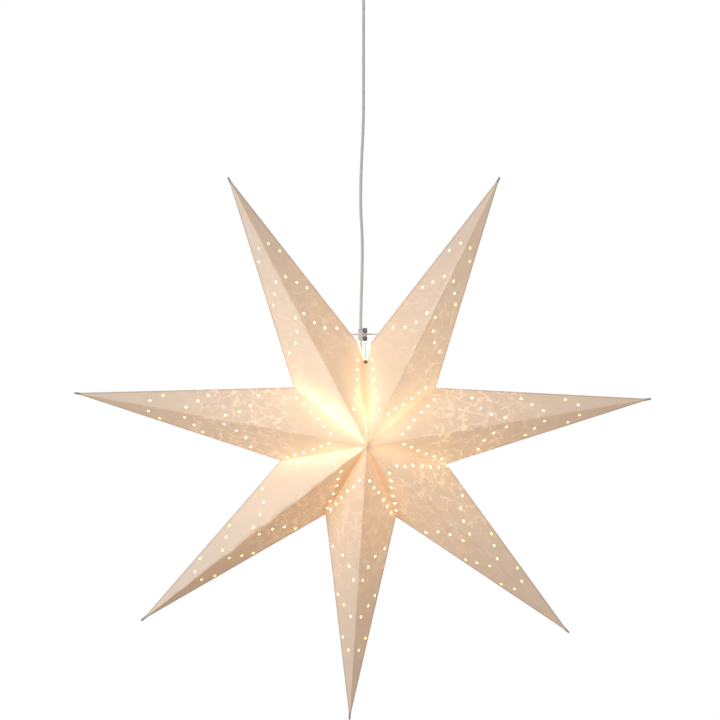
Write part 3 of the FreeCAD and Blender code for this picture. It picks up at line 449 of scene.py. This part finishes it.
def facet(apex, tip, notch, number, tones):
    """One flat facet of card with its punched holes, put in its place.

    Its UV map holds the flat card's own metres, and the attribute "folds" each point's distance
    from the ridge, the side fold and the valley. "tones" and "seam" hold the facet's own numbers.
    """
    along = (tip - apex).normalized()
    across = (notch - apex) - along * (notch - apex).dot(along)
    across.normalize()
    facing = along.cross(across)
    arm_line, side_line = tip.normalized(), (notch - tip * (notch.dot(tip) / tip.length_squared))
    side_line.normalize()
    length = (tip - apex).length
    corner = Vector(((notch - apex).dot(along), (notch - apex).dot(across)))
    last = length * (1 - TAB_LENGTH / TIP_RADIUS)
    near_tip = corner.lerp(Vector((length, 0)), (last - corner.x) / (length - corner.x))
    shape = bmesh.new()
    rim = [shape.verts.new((spot[0], spot[1], 0))
           for spot in ((0, 0), corner, near_tip, (last, 0))]
    for first, second in zip(rim, rim[1:] + rim[:1]):
        shape.edges.new((first, second))
    for distance, offset in HOLES:
        flat = arm_line * (distance / 1000) + side_line * (offset / 1000)
        depth = facing.dot(flat - apex) / facing.y
        place = flat - Vector((0, depth, 0)) - apex
        bmesh.ops.create_circle(
            shape, segments=HOLE_SIDES, radius=HOLE_RADIUS,
            matrix=Matrix.Translation((place.dot(along), place.dot(across), 0)))
    bmesh.ops.triangle_fill(shape, edges=shape.edges, use_beauty=True, normal=(0, 0, 1))
    for step, count, direction in ((ROW_STEP, int(last / ROW_STEP), Vector((1, 0, 0))),
                                   (STRIP_STEP, int(corner.y / STRIP_STEP), Vector((0, 1, 0)))):
        for line in range(1, count + 1):
            bmesh.ops.bisect_plane(
                shape, geom=shape.verts[:] + shape.edges[:] + shape.faces[:],
                dist=MERGED_WITHIN, plane_co=direction * step * line, plane_no=direction)
    flat_map = shape.loops.layers.uv.new("card")
    folds = shape.verts.layers.float_vector.new("folds")
    own_tones = shape.verts.layers.float_vector.new("tones")
    own_seam = shape.verts.layers.float.new("seam")
    end = Vector((length, 0))
    for vertex in shape.verts:
        spot = vertex.co.xy
        lies = Vector((abs(spot.y), distance_to(spot, corner, end),
                       distance_to(spot, Vector((0, 0)), corner)))
        vertex[folds] = lies
        vertex[own_tones] = Vector(tones[:3])
        vertex[own_seam] = tones[3]
        slack = min(1, min(lies) / WARP_EDGE)
        swell = noise.noise(Vector((spot.x / WARP_SIZE, spot.y / WARP_SIZE, number * WARP_SEED)))
        vertex.co.z = WARP * swell * slack
    for face in shape.faces:
        for loop in face.loops:
            loop[flat_map].uv = loop.vert.co.xy + Vector((number, 0))
    outwards = 1 if facing.y * apex.y > 0 else -1
    if outwards < 0:
        bmesh.ops.reverse_faces(shape, faces=shape.faces)
    turn = Matrix((along, across, facing)).transposed().to_4x4()
    bmesh.ops.transform(shape, matrix=Matrix.Translation(apex) @ turn, verts=shape.verts)
    return shape


# The cord's entry, seen from in front and measured from the star's centre: its level foot, and
# each arm's slanting side as the place across of its top, the height of its top, and the place
# across of its foot.
ENTRY_BOTTOM = 0.1015
ENTRY_SIDES = {"top_left": (-0.0108, 0.1258, -0.0016), "top_right": (0.0082, 0.1225, 0.0032)}


def cut_entry(shape, name):
    """Cuts the arm's corner away, where the cord goes in between the two top arms."""
    top_x, top_z, foot_x = ENTRY_SIDES[name]
    slant = Vector((top_x - foot_x, 0, top_z - ENTRY_BOTTOM))
    side = Vector((slant.z, 0, -slant.x)).normalized() * math.copysign(1, foot_x - top_x)
    foot = Vector((foot_x, 0, ENTRY_BOTTOM))
    for spot, direction in ((foot, side), (foot, Vector((0, 0, 1)))):
        bmesh.ops.bisect_plane(shape, geom=shape.verts[:] + shape.edges[:] + shape.faces[:],
                               dist=MERGED_WITHIN, plane_co=spot, plane_no=direction)
    loose = [face for face in shape.faces
             if (face.calc_center_median() - foot).dot(side) > 0
             and ENTRY_BOTTOM < face.calc_center_median().z < ENTRY_BOTTOM + 2 * slant.z]
    bmesh.ops.delete(shape, geom=loose, context="FACES")


FOLD_ROUNDING, FOLDED_ABOVE, SHEETS_MEET = 0.0007, 20, 2e-6
names = list(ARM_ANGLES)
angles = list(ARM_ANGLES.values())
arm_pieces = []
for index, name in enumerate(names):
    angle = angles[index]
    before = angles[index - 1] + (360 if index == 0 else 0)
    after = angles[(index + 1) % len(names)] - (360 if index == len(names) - 1 else 0)
    tip = spoke(TIP_RADIUS, angle)
    arm = bmesh.new()
    for corner, apex_y in enumerate((-HALF_DEPTH, HALF_DEPTH)):
        for side, neighbour in enumerate((before, after)):
            notch = spoke(NOTCH_RADIUS, (angle + neighbour) / 2)
            sheet = facet(Vector((0, apex_y, 0)), tip, notch, 4 * index + 2 * corner + side,
                          FACET_TONES[name][side])
            loose = bpy.data.meshes.new("facet")
            sheet.to_mesh(loose)
            sheet.free()
            arm.from_mesh(loose)
            bpy.data.meshes.remove(loose)
    bmesh.ops.remove_doubles(arm, verts=arm.verts, dist=SHEETS_MEET)
    if name in ENTRY_SIDES:
        cut_entry(arm, name)
    creases = [edge for edge in arm.edges if len(edge.link_faces) == 2
               and edge.calc_face_angle(0) > math.radians(FOLDED_ABOVE)]
    bmesh.ops.bevel(arm, geom=creases, offset=FOLD_ROUNDING, segments=2, profile=0.5,
                    affect="EDGES", material=-1, clamp_overlap=True)
    for face in arm.faces:
        face.smooth = True
    for edge in arm.edges:
        edge.smooth = not edge.is_boundary
    bmesh.ops.translate(arm, vec=STAR, verts=arm.verts)
    mesh = bpy.data.meshes.new("paper_" + name)
    arm.to_mesh(mesh)
    arm.free()
    piece = bpy.data.objects.new("paper_" + name, mesh)
    bpy.context.scene.collection.objects.link(piece)
    wall = piece.modifiers.new("card", "SOLIDIFY")
    wall.thickness = CARD
    wall.offset = -1
    wall.material_offset = 1
    wall.material_offset_rim = 1
    weighted = piece.modifiers.new("flat_faces", "WEIGHTED_NORMAL")
    weighted.keep_sharp = True
    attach(piece, "star")
    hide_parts("arm_" + name)
    arm_pieces.append(piece)

# The card's finish. Object coordinates count from the ceiling's middle, so the bulb's place is
# subtracted from them, to find how far from it and how squarely to it each spot of card stands.
BULB_LEVEL = 24
BULB_CENTRE = Vector((LAMP[0], 0, lamp_level(BULB_LEVEL)))

card_fibre, given = new_group(
    "card_fibre", {"Vector": ("Vector", None), "Fibre Scale": ("Float", 900.0),
                   "Cloud Scale": ("Float", 55.0)},
    {"Height": "Float", "Clouds": "Float"})
fibres = add(card_fibre, "ShaderNodeTexNoise",
             {"Vector": given["Vector"], "Scale": given["Fibre Scale"], "Detail": 3.0,
              "Distortion": 1.2})
clouds = add(card_fibre, "ShaderNodeTexNoise",
             {"Vector": given["Vector"], "Scale": given["Cloud Scale"], "Detail": 4.0})
close_group(card_fibre, Height=fibres.outputs[0], Clouds=clouds.outputs[0])

# Frost tracery: two nets of bent strands. Each net has its cells per metre, its strands' width,
# its bare patches per metre and how much of it they take. It lies in a ring round the lamp.
STRAND_NETS = ((52.0, 0.075, 55.0, 0.42), (100.0, 0.110, 80.0, 0.50))
BEND_SCALE, BEND_REACH, PATCH_FADE = 60.0, 0.028, 0.06
TRACERY_STARTS, TRACERY_ENDS = (0.088, 0.105), (0.165, 0.275)
frost_tracery, given = new_group(
    "frost_tracery", {"Vector": ("Vector", None), "Distance": ("Float", 0.1)},
    {"Lines": "Float"})
bend = add(frost_tracery, "ShaderNodeTexNoise", {"Vector": given["Vector"], "Scale": BEND_SCALE})
shifted = add(frost_tracery, "ShaderNodeVectorMath",
              {0: bend.outputs[1], 1: (0.5, 0.5, 0.5)}, operation="SUBTRACT")
shifted = add(frost_tracery, "ShaderNodeVectorMath",
              {0: shifted.outputs[0], 1: (BEND_REACH, BEND_REACH, 0.0)}, operation="MULTIPLY")
shifted = add(frost_tracery, "ShaderNodeVectorMath",
              {0: given["Vector"], 1: shifted.outputs[0]}, operation="ADD")
strands = []
for scale, width, gap_scale, gap in STRAND_NETS:
    cells = add(frost_tracery, "ShaderNodeTexVoronoi",
                {"Vector": shifted.outputs[0], "Scale": scale}, feature="DISTANCE_TO_EDGE",
                voronoi_dimensions="2D")
    gaps = add(frost_tracery, "ShaderNodeTexNoise",
               {"Vector": given["Vector"], "Scale": gap_scale, "Detail": 1.0})
    line = between(frost_tracery, cells.outputs[0], 0.0, width, 1.0, 0.0)
    kept = between(frost_tracery, gaps.outputs[0], gap, gap + PATCH_FADE)
    strands.append(math_of(frost_tracery, "MULTIPLY", line, kept))
both = math_of(frost_tracery, "MAXIMUM", *strands)
inner_edge = between(frost_tracery, given["Distance"], *TRACERY_STARTS)
outer_edge = between(frost_tracery, given["Distance"], *TRACERY_ENDS, 1.0, 0.0)
zone = math_of(frost_tracery, "MULTIPLY", inner_edge, outer_edge)
close_group(frost_tracery, Lines=math_of(frost_tracery, "MULTIPLY", both, zone))


def product(tree, first, *others):
    for other in others:
        first = math_of(tree, "MULTIPLY", first, other)
    return first


def weighed(tree, mask, weight):
    """1 where the mask is 0, and 1 + weight where it is 1."""
    return math_of(tree, "MULTIPLY_ADD", mask, weight, 1.0)


def grey(tree, value):
    return add(tree, "ShaderNodeCombineColor", {0: value, 1: value, 2: value}).outputs[0]


def from_bulb(tree, coordinates):
    """The way from the bulb to a spot of card, and its length in metres."""
    offset = add(tree, "ShaderNodeVectorMath",
                 {0: coordinates["Object"], 1: tuple(BULB_CENTRE)}, operation="SUBTRACT")
    distance = add(tree, "ShaderNodeVectorMath", {0: offset.outputs[0]}, operation="LENGTH")
    return offset.outputs[0], distance.outputs["Value"]


def direct_light(tree, coordinates, offset, distance):
    """The bulb's direct light on the card: less with the distance squared, and with the slant."""
    facing = add(tree, "ShaderNodeVectorMath",
                 {0: offset, 1: coordinates["Normal"]}, operation="DOT_PRODUCT")
    height = math_of(tree, "ABSOLUTE", facing.outputs["Value"])
    return math_of(tree, "DIVIDE", height, math_of(tree, "POWER", distance, 3.0))


# Near the middle the card's base colour is warmer: painted glow of the lamp shining through it. At
# the tips it is the card's own colour.
CARD_TIP, CARD_MIDDLE_PAINTED_GLOW = (0.78, 0.77, 0.74), (0.80, 0.78, 0.73)
# The fold colour is painted shade along the side folds; the frost colour is the tracery's own pale
# colour.
FOLD_SHADE_COLOUR, FROST_COLOUR = (0.47, 0.35, 0.29), (0.98, 0.93, 0.90)
GLOW_NEAR, GLOW_FAR, GLOW_FLAP = (1.0, 0.79, 0.36), (1.0, 0.55, 0.23), (1.0, 0.38, 0.06)
# How much a fully shaded facet loses of its red, green and blue, and what the shade, the tracery, a
# flap and the painted shade along the side fold each add to the glow.
SHADE_BY_CHANNEL = (-0.28, -0.40, -0.46)
SHADE_GLOW, FROST_GLOW, FLAP_GLOW, SIDE_SHADE_GLOW = -0.12, 0.5, -0.12, -0.5
# Strips along the folds, in metres from the fold: full at the first number, gone at the second.
SIDE_SHADE_STRIP, FLAP_STRIP, LAP_STRIP = (0.0006, 0.0034), (0.0070, 0.0135), (0.0022, 0.0050)
SLIT_STRIP, SEAM_STRIP, APEX_SHADOW_SPOT = (0.0012, 0.0022), (0.0045, 0.0100), (0.0005, 0.006)
# Where along the upper seam the slit opens and closes, and where the lap turns orange, in metres
# from the ridge; and where across the facet, from valley to ridge, a flap fades out.
SLIT_OPENS, SLIT_CLOSES, LAP_TURNS = (0.006, 0.013), (0.022, 0.028), (0.018, 0.034)
FLAP_FADES = (0.25, 0.55)
# How strong these strips are, and how dark the painted shadow at the apex leaves the glow.
SIDE_SHADE_SHARE, SEAM_SHARE, FLAP_SHARE, APEX_SHADOW_GLOW = 0.50, 0.75, 0.9, 0.6
# Glow: the bulb's direct light, the light scattered inside the star near the lamp and at the tips,
# and the brighter windows of single card beside some valleys.
DIRECT_GLOW, SCATTERED_FROM, SCATTERED_GLOW = 0.00110, (0.05, 0.36), (0.44, 0.29)
WINDOW_WIDTH, WINDOW_GLOW, WINDOW_REACH, SLIT_GLOW = 0.040, 0.30, (0.05, 0.17), 0.8
GLOW_RANGE, PAINTED_GLOW_FADES = (0.45, 1.0), (0.10, 0.33)
# The card's clouds and how far they change the glow, and the strength and depth of its relief.
CLOUD_RANGE, CLOUD_GLOW = (0.3, 0.7), (0.93, 1.05)
FIBRE_RELIEF, FROST_RELIEF = (0.25, 0.00012), (0.5, 0.0002)

card, tree, shader, coordinates = principled("star_card", Roughness=0.82,
                                             Specular_IOR_Level=0.25)
offset, distance = from_bulb(tree, coordinates)
direct = direct_light(tree, coordinates, offset, distance)
folds = add(tree, "ShaderNodeAttribute", attribute_name="folds")
from_ridge, from_side, from_valley = add(
    tree, "ShaderNodeSeparateXYZ", {0: folds.outputs["Vector"]}).outputs
tones = add(tree, "ShaderNodeAttribute", attribute_name="tones")
valley_tone, frost_tone, shade = add(
    tree, "ShaderNodeSeparateXYZ", {0: tones.outputs["Vector"]}).outputs
seam_tone = add(tree, "ShaderNodeAttribute", attribute_name="seam").outputs["Fac"]
flat = add(tree, "ShaderNodeUVMap", uv_map="card")
texture = add(tree, "ShaderNodeGroup", node_tree=card_fibre)
tree.links.new(coordinates["Object"], texture.inputs["Vector"])
tracery = add(tree, "ShaderNodeGroup", {"Vector": flat.outputs[0], "Distance": distance},
              node_tree=frost_tracery)
frost = product(tree, tracery.outputs[0], frost_tone)

# Painted glow: the base colour warms towards the middle of the star, near the lamp.
painted_glow_share = between(tree, distance, *PAINTED_GLOW_FADES, 1.0, 0.0)
card_colour_and_painted_light = blended(tree, painted_glow_share, CARD_TIP, CARD_MIDDLE_PAINTED_GLOW)
# Painted shade: a thin darker strip along each side fold, in the base colour and in the glow.
side_line = between(tree, from_side, *SIDE_SHADE_STRIP, SIDE_SHADE_SHARE, 0.0)
card_colour_and_painted_light = blended(tree, side_line, card_colour_and_painted_light, FOLD_SHADE_COLOUR)
card_colour_and_painted_light = blended(tree, frost, card_colour_and_painted_light, FROST_COLOUR)
red, green, blue = [weighed(tree, shade, weight) for weight in SHADE_BY_CHANNEL]
shading = add(tree, "ShaderNodeCombineColor", {0: red, 1: green, 2: blue}).outputs[0]
card_colour_and_painted_light = blended(tree, 1.0, card_colour_and_painted_light, shading, mode="MULTIPLY")

doubled = math_of(tree, "MULTIPLY", valley_tone, -1.0, clamp=True)
share = math_of(tree, "DIVIDE", from_valley, math_of(tree, "ADD", from_ridge, from_valley))
flap = product(tree, between(tree, from_valley, *FLAP_STRIP, 1.0, 0.0),
               between(tree, share, *FLAP_FADES, 1.0, 0.0), doubled)
lapped_edge = product(tree, between(tree, from_valley, *LAP_STRIP, 1.0, 0.0),
                      math_of(tree, "MAXIMUM", seam_tone, 0.0))
upper_seam = product(tree, between(tree, from_ridge, *LAP_TURNS),
                     between(tree, from_valley, *SEAM_STRIP, SEAM_SHARE, 0.0),
                     math_of(tree, "ABSOLUTE", seam_tone))
flap = math_of(tree, "MAXIMUM", math_of(tree, "MAXIMUM", flap, lapped_edge), upper_seam)
slit = product(tree, between(tree, from_valley, *SLIT_STRIP, 1.0, 0.0),
               math_of(tree, "MULTIPLY", seam_tone, -1.0, clamp=True),
               between(tree, from_ridge, *SLIT_OPENS),
               between(tree, from_ridge, *SLIT_CLOSES, 1.0, 0.0))
window = product(tree, between(tree, from_valley, 0.0, WINDOW_WIDTH, WINDOW_GLOW, 0.0),
                 between(tree, distance, *WINDOW_REACH, 1.0, 0.0),
                 math_of(tree, "MAXIMUM", valley_tone, 0.0))

strength = product(tree, direct, DIRECT_GLOW)
for part in (between(tree, distance, *SCATTERED_FROM, *SCATTERED_GLOW), window,
             product(tree, slit, SLIT_GLOW)):
    strength = math_of(tree, "ADD", strength, part)
mottle = between(tree, texture.outputs["Clouds"], *CLOUD_RANGE, *CLOUD_GLOW)
# Painted shadow: the glow dims in a small spot where the folds meet at the apex.
apex = between(tree, math_of(tree, "ADD", from_ridge, from_valley), *APEX_SHADOW_SPOT, APEX_SHADOW_GLOW, 1.0)
strength = product(tree, strength, mottle, weighed(tree, flap, FLAP_GLOW),
                   weighed(tree, frost, FROST_GLOW), weighed(tree, shade, SHADE_GLOW),
                   weighed(tree, side_line, SIDE_SHADE_GLOW), apex)
glow_colour = blended(tree, between(tree, strength, *GLOW_RANGE), GLOW_FAR, GLOW_NEAR)
glow_colour = blended(tree, product(tree, flap, FLAP_SHARE), glow_colour, GLOW_FLAP)
relief = add(tree, "ShaderNodeBump", {"Strength": FIBRE_RELIEF[0], "Distance": FIBRE_RELIEF[1],
                                      "Height": texture.outputs["Height"]})
relief = add(tree, "ShaderNodeBump", {"Strength": FROST_RELIEF[0], "Distance": FROST_RELIEF[1],
                                      "Height": tracery.outputs[0],
                                      "Normal": relief.outputs[0]})
# The base colour: the card's own colour and tracery, with painted shade and painted glow in it.
tree.links.new(card_colour_and_painted_light, shader.inputs["Base Color"])
tree.links.new(blended(tree, 1.0, glow_colour, grey(tree, strength), mode="MULTIPLY"),
               shader.inputs["Emission Color"])
shader.inputs["Emission Strength"].default_value = 1.0
tree.links.new(relief.outputs[0], shader.inputs["Normal"])

# Inside the star the lamp's light on the card is painted into its emission: bright near the lamp and
# a warm yellow out in the arms. It is what shows through the punched holes.
card_inside, tree, shader, coordinates = principled("star_card_inside", Roughness=0.85,
                                                    Emission_Strength=1.0)
distance = from_bulb(tree, coordinates)[1]
texture = add(tree, "ShaderNodeGroup", node_tree=card_fibre)
tree.links.new(coordinates["Object"], texture.inputs["Vector"])
INSIDE_NEAR, INSIDE_FAR = (1.0, 0.90, 0.60), ((0.84, 0.64, 0.16), (0.90, 0.68, 0.36))
INSIDE_CLOUDS, INSIDE_FADES = (0.42, 0.58), (0.06, 0.30)
far = blended(tree, between(tree, texture.outputs["Clouds"], *INSIDE_CLOUDS), *INSIDE_FAR)
lit = blended(tree, between(tree, distance, *INSIDE_FADES), INSIDE_NEAR, far)
tree.links.new(lit, shader.inputs["Emission Color"])
tree.links.new(blended(tree, texture.outputs["Clouds"], (0.80, 0.72, 0.58), (0.86, 0.78, 0.64)),
               shader.inputs["Base Color"])
for piece in arm_pieces:
    piece.data.materials.append(card)
    piece.data.materials.append(card_inside)

# Tip tabs: at the end of each arm the card's folded edges are pressed and glued into a small pale
# grey point.

TAB_END, TAB_ROUNDING = (1, 0.7, 0.75), 0.0002
tab_card = worn("glued_tip", (0.60, 0.58, 0.54), (0.50, 0.48, 0.44), patch=300.0, roughness=0.7)
for name, angle in ARM_ANGLES.items():
    shape = bmesh.new()
    bmesh.ops.create_cube(shape, size=1.0)
    bmesh.ops.scale(shape, vec=(TAB_LENGTH + TAB_HOLD, TAB_DEPTH, TAB_WIDTH), verts=shape.verts)
    end = [vertex for vertex in shape.verts if vertex.co.x > 0]
    bmesh.ops.scale(shape, vec=TAB_END, verts=end)
    bmesh.ops.bevel(shape, geom=shape.edges[:], offset=TAB_ROUNDING, segments=2, profile=0.5,
                    affect="EDGES", material=-1, clamp_overlap=True)
    middle = TIP_RADIUS - (TAB_LENGTH + TAB_HOLD) / 2
    turn = Matrix.Rotation(-math.radians(angle), 4, "Y")
    bmesh.ops.transform(shape, matrix=Matrix.Translation(STAR) @ turn
                        @ Matrix.Translation((middle, 0, 0)), verts=shape.verts)
    finish_mesh("tip_" + name, shape, tab_card, "star", "star_paper")

# Stage: a plain pale floor well below the star and white light all round. To the camera the floor
# and the sky are plain white.

SKY_LIGHT, FLOOR_LEVEL, FLOOR_SIZE = 0.19, -2.3, 30.0
WHITE, FLOOR_COLOUR = (1.0, 1.0, 1.0), (0.8, 0.8, 0.8, 1)


def studio_shows(tree):
    """1 for the camera's, the gloss's and the glass's rays, which see the plain white studio."""
    rays = add(tree, "ShaderNodeLightPath").outputs
    return math_of(tree, "MAXIMUM", rays["Is Camera Ray"],
                   math_of(tree, "MAXIMUM", rays["Is Glossy Ray"], rays["Is Transmission Ray"]))


world = bpy.data.worlds.new("studio")
bpy.context.scene.world = world
world.use_nodes = True
tree = world.node_tree
tree.links.new(blended(tree, studio_shows(tree), (SKY_LIGHT,) * 3, WHITE),
               tree.nodes["Background"].inputs["Color"])

floor_shape = bmesh.new()
bmesh.ops.create_grid(floor_shape, x_segments=1, y_segments=1, size=FLOOR_SIZE / 2,
                      matrix=Matrix.Translation((0, 0, FLOOR_LEVEL)))
floor_mesh = bpy.data.meshes.new("floor")
floor_shape.to_mesh(floor_mesh)
floor_shape.free()
floor = bpy.data.objects.new("floor", floor_mesh)
bpy.context.scene.collection.objects.link(floor)
floor_paint = bpy.data.materials.new("pale_floor")
floor_paint.use_nodes = True
tree = floor_paint.node_tree
shader = tree.nodes["Principled BSDF"]
shader.inputs["Base Color"].default_value = FLOOR_COLOUR
plain = add(tree, "ShaderNodeEmission", {"Strength": 1.0})
mixed = add(tree, "ShaderNodeMixShader",
            {0: studio_shows(tree), 1: shader.outputs[0], 2: plain.outputs[0]})
tree.links.new(mixed.outputs[0], tree.nodes["Material Output"].inputs[0])
floor_mesh.materials.append(floor_paint)

# Lights: a large soft key from the upper left in front, a weak fill from the right, and the bulb's
# own light inside the star.

SOFT_WIDTH, KEY_POWER, FILL_POWER, BULB_POWER = 2.4, 105, 8, 0.6
BULB_COLOUR, BULB_SOFTNESS, BULB_DROP = (1.0, 0.78, 0.50), 0.02, Vector((0, 0, 0.045))


def soft_light(name, offset, power):
    """A soft lamp at an offset from the star's centre, facing it."""
    lamp = bpy.data.lights.new(name, "AREA")
    lamp.shape = "DISK"
    lamp.size = SOFT_WIDTH
    lamp.energy = power
    holder = bpy.data.objects.new(name, lamp)
    holder.location = STAR + Vector(offset)
    holder.rotation_euler = (-Vector(offset)).to_track_quat("-Z", "Y").to_euler()
    bpy.context.scene.collection.objects.link(holder)


soft_light("key", (-3.6, -3.4, 3.2), KEY_POWER)
soft_light("fill", (2.6, -3.2, 0.2), FILL_POWER)
bulb_lamp = bpy.data.lights.new("bulb_light", "POINT")
bulb_lamp.energy = BULB_POWER
bulb_lamp.color = BULB_COLOUR
bulb_lamp.shadow_soft_size = BULB_SOFTNESS
bulb_holder = bpy.data.objects.new("bulb_light", bulb_lamp)
bulb_holder.location = BULB_CENTRE - BULB_DROP
bpy.context.scene.collection.objects.link(bulb_holder)

# Camera: almost level with the star's upper tips and a little to its left, 1.9 m away, with a long
# lens. It looks a little down and to the right.

CAMERA_PLACE, CAMERA_DOWN, CAMERA_RIGHT = Vector((-0.08384, -1.85356, 0.28799)), 5.76905, 2.41022
CAMERA_LENS = 72.727
camera_data = bpy.data.cameras.new("camera")
camera_data.sensor_width = 36
camera_data.lens = CAMERA_LENS
camera = bpy.data.objects.new("camera", camera_data)
camera.location = STAR + CAMERA_PLACE
camera.rotation_euler = (math.radians(90 - CAMERA_DOWN), 0, -math.radians(CAMERA_RIGHT))
bpy.context.scene.collection.objects.link(camera)
bpy.context.scene.camera = camera
bpy.context.scene.view_settings.view_transform = "Standard"
